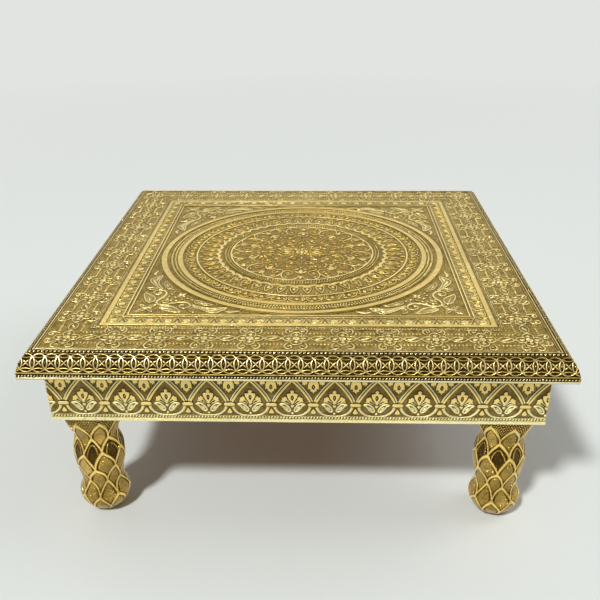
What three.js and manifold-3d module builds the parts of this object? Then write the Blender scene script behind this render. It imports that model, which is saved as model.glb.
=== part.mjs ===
// Bajot low table: a square board with a moulded edge on a box apron and four turned legs,
// the whole of its outside dressed in embossed golden sheet. Millimetres, +Z up, the front
// faces -Y, and the origin is on the floor under the middle of the table.
import * as THREE from 'three';
import { mergeVertices } from 'three/addons/utils/BufferGeometryUtils.js';
import Module from 'manifold-3d';

const wasm = await Module();
wasm.setup();

// Whole table
const topSize = 457.2;
const legHeight = 113.1;
const apronHeight = 51.6;

// Board, and the moulded strip glued round its edge
const boardThickness = 20;
const mouldStripWidth = 16;
const mouldRun = 12.5;
const mouldDrop = 17;
const mouldShoulderShare = 0.55;
const mouldCurveSteps = 7;

// Embossed sheet: how much its relief takes up on each surface
const topSheetDepth = 1.3;
const mouldSheetDepth = 1.3;
const apronSheetDepth = 1.3;
const legSheetDepth = 1.8;
const hemThickness = 0.5;
const hemWidth = 8;
const borderWidth = 42.3;
const bandHeight = 0.6;

// Frame in the middle of the top: a broad raised band and two fine lines inside it
const frameBandInset = 56.6;
const frameBandWidth = 4.4;
const frameLineInset = 72.6;
const frameLineWidth = 1.4;
const frameLineGap = 2;

// Raised rings of the round inside the frame, as shares of the round's radius
const roundRoom = 3.2;
const ringShares = [
  { radius: 1, width: 0.037 },
  { radius: 0.885, width: 0.03 },
  { radius: 0.757, width: 0.011 },
  { radius: 0.622, width: 0.034 },
  { radius: 0.514, width: 0.011 },
];
const ringSegments = 64;

// Apron
const lipHeight = 3;
const apronInset = 16.4;
const railThickness = 16;

// Corner blocks that take the legs' bolts
const blockSize = 36;
const blockHeadroom = 15.6;
const blockChamfer = 14;

// Legs: radius and depth below the apron, as shares of the top radius and of the leg's height
const legTopRadius = 27.2;
const legProfileShares = [
  [1, 0],
  [0.985, 0.06],
  [0.893, 0.14],
  [0.739, 0.24],
  [0.76, 0.3],
  [0.827, 0.36],
  [0.858, 0.43],
  [0.849, 0.5],
  [0.754, 0.62],
  [0.71, 0.715],
  [0.787, 0.77],
  [0.862, 0.825],
  [0.825, 0.88],
  [0.743, 0.92],
  [0.566, 0.975],
  [0.5, 0.985],
];
const legProfileSteps = 15;
const legSegments = 24;
const footRadius = 9.5;

// Hanger bolt, washer and nut of each leg
const boltRadius = 3;
const boltInLeg = 30;
const boltPastNut = 3;
const boltTipLength = 5;
const washerRadius = 9;
const washerThickness = 1.6;
const washerRoom = 1.2;
const nutAcrossFlats = 10;
const nutHeight = 5;
const boltSegments = 12;

// Countersunk screws through the board into the rails
const screwShankRadius = 2;
const screwHeadRadius = 4;
const screwHeadHeight = 2.6;
const screwLength = 42;
const screwTipLength = 5;
const screwPlaceShare = 0.5;
const screwSegments = 12;

// Clearances
const fastenerGap = 0.3;
const holeOverrun = 2;

// Derived sizes and places
const topHalf = topSize / 2;
const blockHeight = apronHeight - blockHeadroom;
const apronTop = legHeight + apronHeight;
const boardTop = apronTop + boardThickness;
const tableTop = boardTop + topSheetDepth;
const sheetGround = tableTop - bandHeight;
const innerLineInset = frameLineInset + frameLineWidth + frameLineGap;
const roundRadius = topHalf - innerLineInset - frameLineWidth - roundRoom;
const boardHalf = topHalf - mouldStripWidth;
const railFaceInset = apronInset + apronSheetDepth;
const railBackInset = railFaceInset + railThickness;
const legAxisInset = railBackInset + washerRoom + washerRadius;
const railMiddle = topHalf - railFaceInset - railThickness / 2;
const borderInnerInset = mouldRun + borderWidth;
const legAxis = topHalf - legAxisInset;

const sides = ['front', 'right', 'back', 'left'];
const corners = ['front_left', 'front_right', 'back_right', 'back_left'];
const quarterTurn = Math.PI / 2;

const timber = { color: 0xa9794a, roughness: 0.7, metalness: 0 };
const embossedGold = { color: 0xc9a74e, roughness: 0.35, metalness: 1 };
const zincSteel = { color: 0xb4b7ba, roughness: 0.4, metalness: 1 };

function piece(name, geometry, finish) {
  const mesh = new THREE.Mesh(geometry, new THREE.MeshStandardMaterial(finish));
  mesh.name = name;
  return mesh;
}

// Copies of a maker's group at each quarter turn round the table
function roundTheTable(names, makeMeshes) {
  const ring = new THREE.Group();
  names.forEach((name, turn) => {
    const quarter = new THREE.Group();
    quarter.rotation.z = turn * quarterTurn;
    quarter.add(...makeMeshes(name));
    ring.add(quarter);
  });
  return ring;
}

// A bar along the front whose section is given as [inset from the table's edge, height]
// and whose two ends are cut on the mitre lines of the square
function mitredBar(section) {
  const shape = new THREE.Shape(section.map(([inset, height]) => new THREE.Vector2(inset, height)));
  const bar = new THREE.ExtrudeGeometry(shape, { depth: 1, steps: 1, bevelEnabled: false });
  const places = bar.attributes.position;
  for (let i = 0; i < places.count; i += 1) {
    const reach = topHalf - places.getX(i);
    const along = places.getZ(i) > 0 ? reach : -reach;
    places.setXYZ(i, along, -reach, places.getY(i));
  }
  bar.computeVertexNormals();
  return bar;
}

function slab(lowInset, highInset, bottom, top) {
  return mitredBar([[lowInset, bottom], [highInset, bottom], [highInset, top], [lowInset, top]]);
}

// Boolean cuts
function solidOf(geometry) {
  const bare = geometry.clone();
  bare.deleteAttribute('normal');
  bare.deleteAttribute('uv');
  const merged = mergeVertices(bare);
  return new wasm.Manifold(new wasm.Mesh({
    numProp: 3,
    vertProperties: new Float32Array(merged.attributes.position.array),
    triVerts: new Uint32Array(merged.index.array),
  }));
}

function geometryOf(solid) {
  const mesh = solid.getMesh();
  const geometry = new THREE.BufferGeometry();
  geometry.setAttribute('position', new THREE.BufferAttribute(mesh.vertProperties, 3));
  geometry.setIndex(new THREE.BufferAttribute(mesh.triVerts, 1));
  geometry.computeVertexNormals();
  return geometry;
}

function joinWith(geometry, additions) {
  let solid = solidOf(geometry);
  for (const addition of additions) {
    solid = solid.add(solidOf(addition));
  }
  return geometryOf(solid);
}

function cutWith(geometry, cutters) {
  let solid = solidOf(geometry);
  for (const cutter of cutters) {
    solid = solid.subtract(solidOf(cutter));
  }
  return geometryOf(solid);
}

// A turned piece with its axis along Z, from [radius, height] points running upwards
function turned(points, segments) {
  const profile = points.map(([radius, height]) => new THREE.Vector2(radius, height));
  return new THREE.LatheGeometry(profile, segments).rotateX(quarterTurn);
}

// Moulding: an ovolo from the flat of the top down to a straight fillet
function mouldCurve(depth) {
  const start = new THREE.Vector2(mouldRun, tableTop - depth);
  const end = new THREE.Vector2(depth, tableTop - mouldDrop);
  const shoulder = new THREE.Vector2(depth, tableTop - depth);
  const control = start.clone().add(end).multiplyScalar(0.5).lerp(shoulder, mouldShoulderShare);
  const curve = new THREE.QuadraticBezierCurve(start, control, end);
  return curve.getPoints(mouldCurveSteps).map((point) => [point.x, point.y]);
}

function edgeMoulding() {
  return mitredBar([
    [mouldSheetDepth, apronTop],
    [mouldStripWidth, apronTop],
    [mouldStripWidth, boardTop],
    ...mouldCurve(mouldSheetDepth),
  ]);
}

function mouldingSheet() {
  const hemBottom = apronTop - hemThickness;
  return mitredBar([
    ...mouldCurve(0).reverse(),
    ...mouldCurve(mouldSheetDepth),
    [mouldSheetDepth, apronTop],
    [hemWidth, apronTop],
    [hemWidth, hemBottom],
    [0, hemBottom],
  ].reverse());
}

// Screws, and the holes that they need in the board and the rails
const screwBottom = boardTop - screwLength;

function screw() {
  return turned([
    [0, screwBottom],
    [screwShankRadius, screwBottom + screwTipLength],
    [screwShankRadius, boardTop - screwHeadHeight],
    [screwHeadRadius, boardTop],
    [0, boardTop],
  ], screwSegments);
}

function screwHole() {
  const shank = screwShankRadius + fastenerGap;
  const head = screwHeadRadius + fastenerGap;
  return turned([
    [0, screwBottom - fastenerGap],
    [shank, screwBottom + screwTipLength],
    [shank, boardTop - screwHeadHeight - fastenerGap],
    [head, boardTop - fastenerGap],
    [head, boardTop + holeOverrun],
    [0, boardTop + holeOverrun],
  ], screwSegments);
}

const screwPlaces = [
  { end: 'left', along: -screwPlaceShare * railMiddle },
  { end: 'right', along: screwPlaceShare * railMiddle },
];

function screwHolesOnSide(turn) {
  const angle = turn * quarterTurn;
  return screwPlaces.map(({ along }) => screwHole().translate(along, -railMiddle, 0).rotateZ(angle));
}

// Hanger bolt, washer and nut
function hangerBolt() {
  const bottom = legHeight - boltInLeg;
  const top = legHeight + blockHeight + washerThickness + nutHeight + boltPastNut;
  return turned([
    [0, bottom],
    [boltRadius, bottom + boltTipLength],
    [boltRadius, top],
    [0, top],
  ], boltSegments);
}

function roundHole(radius) {
  const hole = new THREE.Path();
  const points = [];
  for (let i = 0; i < boltSegments; i += 1) {
    const angle = (-2 * Math.PI * i) / boltSegments;
    points.push(new THREE.Vector2(radius * Math.sin(angle), radius * Math.cos(angle)));
  }
  return hole.setFromPoints(points);
}

function plateWithHole(outline, holeRadius, bottom, thickness) {
  const shape = new THREE.Shape(outline.map(([x, y]) => new THREE.Vector2(x, y)));
  shape.holes.push(roundHole(holeRadius));
  const plate = new THREE.ExtrudeGeometry(shape, { depth: thickness, bevelEnabled: false });
  return plate.translate(0, 0, bottom);
}

function polygonOutline(radius, count) {
  return Array.from({ length: count }, (_, i) => {
    const angle = (2 * Math.PI * i) / count;
    return [radius * Math.cos(angle), radius * Math.sin(angle)];
  });
}

function washer() {
  const outline = polygonOutline(washerRadius, 2 * boltSegments);
  return plateWithHole(outline, boltRadius + fastenerGap, legHeight + blockHeight, washerThickness);
}

function nut() {
  const outline = polygonOutline(nutAcrossFlats / Math.sqrt(3), 6);
  const bottom = legHeight + blockHeight + washerThickness;
  return plateWithHole(outline, boltRadius + fastenerGap, bottom, nutHeight);
}

// Corner block, drawn round the leg's axis with the rails' inner faces to its left and front
function cornerBlock() {
  const low = railBackInset - legAxisInset;
  const high = low + blockSize;
  const outline = [
    [low, low],
    [high, low],
    [high, high - blockChamfer],
    [high - blockChamfer, high],
    [low, high],
  ];
  return plateWithHole(outline, boltRadius + fastenerGap, legHeight, blockHeight);
}

// Turned leg and its sheet
function legSurface(depth) {
  const places = legProfileShares.map(([radiusShare, depthShare]) => (
    new THREE.Vector2(radiusShare * legTopRadius - depth, (1 - depthShare) * legHeight)
  ));
  const curve = new THREE.SplineCurve(places);
  return curve.getPoints(legProfileSteps).map((point) => [point.x, point.y]).reverse();
}

function legCore() {
  const holeRadius = boltRadius + fastenerGap;
  const holeBottom = legHeight - boltInLeg - fastenerGap;
  const body = turned([
    [0, 0],
    [footRadius, 0],
    ...legSurface(legSheetDepth),
    [0, legHeight],
  ], legSegments);
  const bore = turned([
    [0, holeBottom],
    [holeRadius, holeBottom + boltTipLength],
    [holeRadius, legHeight + holeOverrun],
    [0, legHeight + holeOverrun],
  ], boltSegments);
  return cutWith(body, [bore]);
}

function legSheet() {
  const outer = legSurface(0);
  const inner = legSurface(legSheetDepth);
  return turned([...outer, ...inner.reverse(), outer[0]], legSegments);
}

// The pieces, from the board outwards
function topBoard() {
  const board = new THREE.BoxGeometry(2 * boardHalf, 2 * boardHalf, boardThickness);
  board.translate(0, 0, apronTop + boardThickness / 2);
  const holes = sides.flatMap((_, turn) => screwHolesOnSide(turn));
  return piece('top_board', cutWith(board, holes), timber);
}

function ringBand(shares) {
  const outer = shares.radius * roundRadius;
  const inner = outer - shares.width * roundRadius;
  return turned([
    [inner, boardTop],
    [outer, boardTop],
    [outer, tableTop],
    [inner, tableTop],
    [inner, boardTop],
  ], ringSegments);
}

function squareOutline(half) {
  const points = [[-half, -half], [half, -half], [half, half], [-half, half]];
  return points.map(([x, y]) => new THREE.Vector2(x, y));
}

function frameBand(inset, width) {
  const half = topHalf - inset;
  const band = new THREE.Shape(squareOutline(half));
  band.holes.push(new THREE.Path(squareOutline(half - width).reverse()));
  const geometry = new THREE.ExtrudeGeometry(band, { depth: topSheetDepth, bevelEnabled: false });
  return geometry.translate(0, 0, boardTop);
}

function topSheet() {
  const half = topHalf - borderInnerInset;
  const thickness = sheetGround - boardTop;
  const sheet = new THREE.BoxGeometry(2 * half, 2 * half, thickness);
  sheet.translate(0, 0, boardTop + thickness / 2);
  const frame = [
    frameBand(frameBandInset, frameBandWidth),
    frameBand(frameLineInset, frameLineWidth),
    frameBand(innerLineInset, frameLineWidth),
  ];
  return piece('top_sheet', joinWith(sheet, [...frame, ...ringShares.map(ringBand)]), embossedGold);
}

// The apron's sheet, with a plain lip raised along its top and its foot
function apronSheet() {
  const ground = apronInset + bandHeight;
  return mitredBar([
    [railFaceInset, legHeight],
    [railFaceInset, apronTop],
    [apronInset, apronTop],
    [apronInset, apronTop - lipHeight],
    [ground, apronTop - lipHeight],
    [ground, legHeight + lipHeight],
    [apronInset, legHeight + lipHeight],
    [apronInset, legHeight],
  ].reverse());
}

function sidePieces(side) {
  const rail = cutWith(slab(railFaceInset, railBackInset, legHeight, apronTop), screwHolesOnSide(0));
  const screws = screwPlaces.map(({ end, along }) => {
    const mesh = piece(`top_screw_${side}_${end}`, screw(), zincSteel);
    mesh.position.set(along, -railMiddle, 0);
    return mesh;
  });
  return [
    piece(`edge_moulding_${side}`, edgeMoulding(), timber),
    piece(`apron_rail_${side}`, rail, timber),
    piece(`border_sheet_${side}`, slab(mouldRun, borderInnerInset, boardTop, tableTop), embossedGold),
    piece(`moulding_sheet_${side}`, mouldingSheet(), embossedGold),
    piece(`apron_sheet_${side}`, apronSheet(), embossedGold),
    ...screws,
  ];
}

function cornerPieces(corner) {
  const cluster = new THREE.Group();
  cluster.position.set(-legAxis, -legAxis, 0);
  cluster.add(
    piece(`corner_block_${corner}`, cornerBlock(), timber),
    piece(`leg_${corner}`, legCore(), timber),
    piece(`leg_sheet_${corner}`, legSheet(), embossedGold),
    piece(`hanger_bolt_${corner}`, hangerBolt(), zincSteel),
    piece(`leg_washer_${corner}`, washer(), zincSteel),
    piece(`leg_nut_${corner}`, nut(), zincSteel),
  );
  return [cluster];
}

const group = new THREE.Group();
group.add(topBoard(), topSheet());
group.add(roundTheTable(sides, sidePieces));
group.add(roundTheTable(corners, cornerPieces));

export default group;
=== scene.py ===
import math

import bmesh
import bpy
import numpy as np
from mathutils import Matrix, Vector


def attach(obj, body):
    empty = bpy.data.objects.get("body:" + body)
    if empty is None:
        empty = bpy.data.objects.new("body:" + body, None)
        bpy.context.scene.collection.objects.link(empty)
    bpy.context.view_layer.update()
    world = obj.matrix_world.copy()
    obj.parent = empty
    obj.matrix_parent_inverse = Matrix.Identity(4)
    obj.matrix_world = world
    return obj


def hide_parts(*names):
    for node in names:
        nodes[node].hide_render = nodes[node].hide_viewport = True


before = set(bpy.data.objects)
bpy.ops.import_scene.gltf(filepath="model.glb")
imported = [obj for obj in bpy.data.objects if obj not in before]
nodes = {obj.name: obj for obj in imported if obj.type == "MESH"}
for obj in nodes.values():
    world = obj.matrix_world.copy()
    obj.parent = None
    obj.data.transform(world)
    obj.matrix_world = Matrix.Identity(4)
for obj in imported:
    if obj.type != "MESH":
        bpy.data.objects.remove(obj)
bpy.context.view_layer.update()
scene = bpy.context.scene
sides = ["front", "right", "back", "left"]
corners = ["front_left", "front_right", "back_right", "back_left"]
quarterTurns = (0, 90, 180, 270)
millimetre = 0.001
print("frame loaded:", len(nodes), "nodes")

# Camera and studio
view = {
    "place": (0.0207, -0.7340, 0.4801),
    "pitchDown": math.radians(27.71),
    "turnLeft": 0.0321,
    "roll": -0.0084,
    "lens": 44.16,
    "sensor": 36,
    "shiftY": 0.045,
    "nearest": 0.01,
}
studio = {
    "worldColour": (1, 0.98, 0.95, 1),
    "worldStrength": 0.22,
    "mirrored": [(0, (0.46, 0.46, 0.44)), (0.3, (0.46, 0.45, 0.43)), (0.44, (0.7, 0.69, 0.66)),
                 (0.56, (0.86, 0.84, 0.77)), (0.63, (0.5, 0.45, 0.33)), (0.7, (0.5, 0.46, 0.36)),
                 (0.77, (0.58, 0.55, 0.48)), (1, (0.22, 0.21, 0.2))],
    "floorMirrored": (0.95, 0.93, 0.88, 1),
    "floorMirroredShare": 0.6,
    "backdropColour": (0.76, 0.775, 0.755, 1),
    "floorColour": (0.685, 0.73, 0.725, 1),
    "floorShade": (0.655, 0.7, 0.69, 1),
    "floorNoise": 3,
    "floorMottle": 0.06,
    "floorRoughness": 0.6,
    "fade": (0.7, 2.4),
    "floorSize": 30,
    "lamps": {
        "keySoftbox": ((-2.88, -4.9, 6.95), (0, 0, 0.1), (1, 1), 690, (1, 0.99, 0.97)),
        "fillSoftbox": ((2.6, 0.4, 2.6), (0, 0, 0.1), (2, 2), 36, (1, 0.99, 0.97)),
        "backSoftbox": ((-0.6, 2.3, 1.6), (0, 0, 0.15), (4.6, 1.6), 14, (1, 0.97, 0.9)),
    },
}


def addObject(name, data):
    made = bpy.data.objects.new(name, data)
    scene.collection.objects.link(made)
    return made


def addCamera(look):
    cameraData = bpy.data.cameras.new("studioCamera")
    cameraData.lens = look["lens"]
    cameraData.sensor_width = look["sensor"]
    cameraData.shift_y = look["shiftY"]
    cameraData.clip_start = look["nearest"]
    camera = addObject("studioCamera", cameraData)
    turn = Matrix.Rotation(look["turnLeft"], 4, "Z")
    tilt = Matrix.Rotation(math.pi / 2 - look["pitchDown"], 4, "X")
    roll = Matrix.Rotation(look["roll"], 4, "Z")
    camera.matrix_world = Matrix.Translation(look["place"]) @ turn @ tilt @ roll
    scene.camera = camera


def addLamp(name, place, aim, size, power, tint):
    lampData = bpy.data.lights.new(name, "AREA")
    lampData.shape = "RECTANGLE"
    lampData.size, lampData.size_y = size
    lampData.energy = power
    lampData.color = tint
    lamp = addObject(name, lampData)
    lamp.location = place
    lamp.rotation_euler = (Vector(aim) - Vector(place)).to_track_quat("-Z", "Y").to_euler()


# A node tree, and the kinds of node that the world and the materials are made of
class Graph:
    def __init__(self, tree):
        self.tree = tree

    def add(self, kind, inputs=None, **settings):
        node = self.tree.nodes.new(kind)
        for key, value in settings.items():
            setattr(node, key, value)
        for key, value in (inputs or {}).items():
            self.feed(node.inputs[key], value)
        return node

    def feed(self, socket, value):
        if isinstance(value, bpy.types.NodeSocket):
            self.tree.links.new(value, socket)
        else:
            socket.default_value = value

    def ramp(self, value, stops):
        node = self.add("ShaderNodeValToRGB", {"Fac": value})
        band = node.color_ramp
        while len(band.elements) < len(stops):
            band.elements.new(0.5)
        for element, (place, tint) in zip(band.elements, stops):
            element.position = place
            element.color = (*tint, 1)
        return node.outputs["Color"]

    def glow(self, kind, tint, strength=1):
        return self.add(kind, {"Color": tint, "Strength": strength}).outputs[0]

    def mix(self, share, first, second):
        return self.add("ShaderNodeMixShader", {0: share, 1: first, 2: second}).outputs[0]


def addWorld(look):
    world = bpy.data.worlds.new("studioWorld")
    world.use_nodes = True
    world.node_tree.nodes.clear()
    scene.world = world
    graph = Graph(world.node_tree)
    rays = graph.add("ShaderNodeLightPath").outputs
    direction = graph.add("ShaderNodeTexCoord").outputs["Generated"]
    height = graph.add("ShaderNodeSeparateXYZ", {0: direction}).outputs["Z"]
    dome = graph.ramp(height, look["mirrored"])  # what the metal sees: palest half way up, dim overhead
    lighting = graph.glow("ShaderNodeBackground", look["worldColour"], look["worldStrength"])
    lighting = graph.mix(rays["Is Glossy Ray"], lighting, graph.glow("ShaderNodeBackground", dome))
    backdrop = graph.glow("ShaderNodeBackground", look["backdropColour"])
    seen = graph.mix(rays["Is Camera Ray"], lighting, backdrop)
    graph.add("ShaderNodeOutputWorld", {"Surface": seen})


addCamera(view)
addWorld(studio)
for name, lamp in studio["lamps"].items():
    addLamp(name, *lamp)
scene.view_settings.view_transform = "Standard"
print("camera, world and lamps are in")


# Materials
noiseEdges = (0.3, 0.7)  # most of a noise lies between these


class Paint(Graph):
    def __init__(self, name):
        self.material = bpy.data.materials.new(name)
        self.material.use_nodes = True
        super().__init__(self.material.node_tree)
        self.shader = self.tree.nodes["Principled BSDF"]
        self.place = self.add("ShaderNodeTexCoord").outputs["Object"]

    def stretched(self, scale):
        return self.add("ShaderNodeMapping", {"Vector": self.place, "Scale": scale}).outputs["Vector"]

    def noise(self, scale, detail=3, roughness=0.55, place=None):
        inputs = {"Vector": place or self.place, "Scale": scale, "Detail": detail, "Roughness": roughness}
        return self.add("ShaderNodeTexNoise", inputs).outputs["Fac"]

    def cells(self, scale):
        return self.add("ShaderNodeTexVoronoi", {"Vector": self.place, "Scale": scale}).outputs["Distance"]

    def ranged(self, value, *span):
        return self.add("ShaderNodeMapRange", dict(enumerate((value, *span)))).outputs["Result"]

    def combine(self, first, second, operation="ADD"):
        return self.add("ShaderNodeMath", {0: first, 1: second}, operation=operation).outputs[0]

    def blend(self, share, first, second):
        return self.add("ShaderNodeMix", {0: share, 6: first, 7: second}, data_type="RGBA").outputs[2]

    def bump(self, height, strength, distance):
        inputs = {"Strength": strength, "Distance": distance, "Height": height}
        return self.add("ShaderNodeBump", inputs).outputs["Normal"]

    def finish(self, sockets):
        for name, value in sockets.items():
            self.feed(self.shader.inputs[name], value)
        return self.material


def colour(red, green, blue):
    channels = (red / 255, green / 255, blue / 255)
    return tuple(((c + 0.055) / 1.055) ** 2.4 if c > 0.04045 else c / 12.92 for c in channels)


def goldSheet(name, look):
    paint = Paint(name)
    crest = paint.add("ShaderNodeAttribute", attribute_name="crest").outputs["Fac"]
    patches = paint.noise(look["patchScale"], 4)
    mottle = paint.noise(look["mottleScale"])
    pits = paint.ranged(paint.cells(look["stippleScale"]), *look["pitEdges"], 0, 1)
    low = paint.ranged(crest, look["stippledFrom"], look["stippledTo"], 1, 0)
    sunk = paint.combine(pits, low, "MULTIPLY")
    uneven = paint.combine(crest, paint.ranged(mottle, *noiseEdges, -look["mottle"], look["mottle"]))
    # The ramp by relief height paints shade in the hollows and at the feet of the relief, and in some golds
    # a highlight on the highest relief
    base = paint.ramp(uneven, look["stops"])
    wornAndShaded = paint.ranged(patches, *look["patchEdges"], 0, look["patch"])
    wornAndShaded = paint.blend(wornAndShaded, base, (*look["tarnish"], 1))
    wornAndShaded = paint.blend(paint.combine(sunk, look["pitShade"], "MULTIPLY"), wornAndShaded, (*look["pitColour"], 1))
    rough = paint.ranged(crest, 0, 1, look["groundRoughness"], look["crestRoughness"])
    rough = paint.combine(rough, paint.ranged(mottle, *noiseEdges, *look["smudges"]))
    grain = paint.combine(paint.noise(look["grainScale"], 2), look["grain"], "MULTIPLY")
    dimples = paint.combine(paint.noise(look["dimpleScale"], 1), look["dimple"], "MULTIPLY")
    height = paint.combine(paint.combine(grain, dimples), sunk, "SUBTRACT")
    return paint.finish({
        "Base Color": wornAndShaded, "Metallic": look["metallic"], "Roughness": rough,
        "Specular IOR Level": look["specular"], "Coat Weight": look["lacquer"],
        "Coat Roughness": look["lacquerRoughness"],
        "Normal": paint.bump(height, look["bump"], look["bumpDepth"]),
    })


# The stops run from the hollows at 0 to the highest relief at 1; the darkest low stops paint shade in the
# hollows and around the feet of the relief
def makeGolds():
    brightGold = colour(255, 240, 174)
    dullGold = colour(234, 203, 116)
    groundGold = colour(227, 194, 86)
    midGold = colour(252, 222, 134)
    paleGold = colour(255, 238, 164)
    creamGold = colour(255, 246, 182)
    umber = colour(132, 106, 38)
    darkUmber = colour(56, 41, 9)
    # The darkest brown: painted shade in the deepest hollows and at the feet of the relief
    hollowShade = colour(32, 22, 5)
    common = {
        "patchScale": 14, "patchEdges": (0.35, 0.7), "patch": 0.25, "tarnish": umber,
        "mottleScale": 160, "mottle": 0.04, "smudges": (-0.05, 0.07),
        "metallic": 0.9, "specular": 0.3, "lacquer": 0.03, "lacquerRoughness": 0.12,
        "groundRoughness": 0.45, "crestRoughness": 0.28,
        "stippleScale": 950, "stippledFrom": 0.25, "stippledTo": 0.6,
        "pitEdges": (0.15, 0.6), "pitShade": 0.45, "pitColour": darkUmber,
        "grainScale": 2500, "grain": 0.12, "dimpleScale": 420, "dimple": 0.5,
        "bump": 0.7, "bumpDepth": 0.0004,
    }
    looks = {
        "topGold": {
            "stops": [(0, darkUmber), (0.13, darkUmber), (0.2, groundGold), (0.34, brightGold),
                      (0.85, brightGold), (0.94, dullGold), (1, dullGold)],
            "stippleScale": 800, "pitShade": 0.65, "metallic": 0.95,
        },
        "roundGold": {
            "stops": [(0, darkUmber), (0.12, darkUmber), (0.28, colour(206, 172, 76)),
                      (0.44, colour(238, 210, 120)), (0.6, paleGold), (0.85, paleGold),
                      (0.94, colour(218, 194, 112))],
            "stippleScale": 700, "pitShade": 0.65, "metallic": 0.95,
        },
        # The moulding's ground is painted shade in the darkest stops, and the palest top stop is a painted
        # highlight
        "edgeGold": {
            "stops": [(0, hollowShade), (0.22, hollowShade), (0.4, umber), (0.55, colour(226, 198, 116)),
                      (0.65, colour(248, 236, 188))],
            "metallic": 1, "crestRoughness": 0.18,
        },
        # The lowest stops paint shade on the feet around the plaques, and the palest top stop is a painted
        # highlight on the highest relief
        "apronGold": {
            "stops": [(0, hollowShade), (0.11, hollowShade), (0.19, colour(140, 110, 36)), (0.3, creamGold),
                      (0.66, creamGold), (0.76, midGold), (0.86, midGold), (0.95, colour(255, 246, 188))],
            "metallic": 0.6, "mottle": 0.02, "groundRoughness": 0.62,
        },
        # The low stops paint shade in the grooves, the collar and the hollow second row, and the top stop is
        # a painted highlight on the ribs
        "legGold": {
            "stops": [(0, hollowShade), (0.15, darkUmber), (0.24, colour(110, 80, 22)),
                      (0.36, colour(232, 196, 98)), (0.52, colour(250, 216, 118)),
                      (0.7, colour(250, 218, 122)), (1, colour(255, 230, 142))],
            "patch": 0.45, "patchScale": 75, "tarnish": colour(112, 84, 22),
            "crestRoughness": 0.13, "groundRoughness": 0.28,
            "stippledFrom": 0.46, "stippledTo": 0.56, "stippleScale": 1000,
            "pitShade": 0.6, "pitColour": colour(96, 70, 16),
            "dimpleScale": 260, "dimple": 1.1, "bump": 0.85, "bumpDepth": 0.0008,
        },
    }
    return {name: goldSheet(name, {**common, **look}) for name, look in looks.items()}


timberLook = {
    "rings": (26, 5, 0.6),
    "ringStretch": (1, 9, 9),
    "pores": (90, 3, 0.6),
    "poreStretch": (1, 14, 14),
    "poreEdges": (0.45, 0.7),
    "poreShare": 0.45,
    "poreColour": (112, 74, 44),
    "stops": {0.3: (150, 105, 66), 0.55: (184, 138, 92), 0.75: (160, 114, 72)},
    "roughness": (0.55, 0.75),
    "bump": (0.35, 0.0006),
}
zincLook = {
    "spangle": 240,
    "stops": {0.3: (176, 178, 180), 0.7: (206, 208, 208)},
    "roughness": (0.3, 0.45),
    "grain": 1800,
    "bump": (0.2, 0.0002),
}


def colourStops(stops):
    return [(place, colour(*channels)) for place, channels in stops.items()]


def timberMaterial(look):
    paint = Paint("sandedTimber")
    years = paint.noise(*look["rings"], paint.stretched(look["ringStretch"]))
    pores = paint.noise(*look["pores"], paint.stretched(look["poreStretch"]))
    grain = paint.ramp(years, colourStops(look["stops"]))
    share = paint.ranged(pores, *look["poreEdges"], 0, look["poreShare"])
    wood = paint.blend(share, grain, (*colour(*look["poreColour"]), 1))
    rough = paint.ranged(pores, *noiseEdges, *look["roughness"])
    return paint.finish({"Base Color": wood, "Roughness": rough, "Normal": paint.bump(pores, *look["bump"])})


def zincMaterial(look):
    paint = Paint("zincSteel")
    spangle = paint.noise(look["spangle"], 2)
    shade = paint.ramp(spangle, colourStops(look["stops"]))
    rough = paint.ranged(spangle, *noiseEdges, *look["roughness"])
    normal = paint.bump(paint.noise(look["grain"], 2), *look["bump"])
    return paint.finish({"Base Color": shade, "Metallic": 1, "Roughness": rough, "Normal": normal})


golds = makeGolds()
timber = timberMaterial(timberLook)
zinc = zincMaterial(zincLook)
fasteners = ("hanger_bolt", "leg_washer", "leg_nut", "top_screw")
for name, node in nodes.items():
    inner = zinc if name.startswith(fasteners) else timber
    node.data.materials.clear()
    node.data.materials.append(golds["topGold"] if "sheet" in name else inner)
print("materials are on the wood and the fasteners")


# Relief is drawn flat, in millimetres on a ground at height 0, and then laid on its surface
embossing = {
    "steps": 4,
    "swell": 1.3,
    "tallest": 0.95,
    "headroom": 0.995,
    "groundDepth": 0.25,
    "sink": 0.1,
    "sharpAngle": math.radians(62),
    "plaqueEdge": 0.38,
    "edgeSpare": 0.01,
    "onAxis": 0.01,
    "onGround": 1e-4,
    "onPlane": 1e-7,
    "foot": 0.42,
    "footLift": 0.05,
    "footSteps": 3,
    "beadSides": 8,
    "beadRows": 4,
    "bandBevel": 0.3,
    "bandSink": 0.2,
    "weld": 0.002,
}


def strokeSection(name, half):
    outline = half + [(-across, up) for across, up in half[-2::-1]]
    data = bpy.data.curves.new(name, "CURVE")
    data.dimensions = "2D"
    spline = data.splines.new("POLY")
    spline.points.add(len(outline) - 1)
    for point, (across, up) in zip(spline.points, outline):
        point.co = (across, up, 0, 1)
    spline.use_cyclic_u = True
    holder = bpy.data.objects.new(name, data)
    holder.hide_render = True
    return holder


# Half of each section, from its left foot to its crest: a bead on a wide foot, painted dark as shade by the
# low stops, and a plain rope
beadSection = strokeSection("beadSection", [(-0.9, -0.05), (-0.3, 0.27), (0, 0.42)])
ropeSection = strokeSection("ropeSection", [(-0.6, -0.05), (-0.5, 0.22), (-0.27, 0.38), (0, 0.44)])


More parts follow.
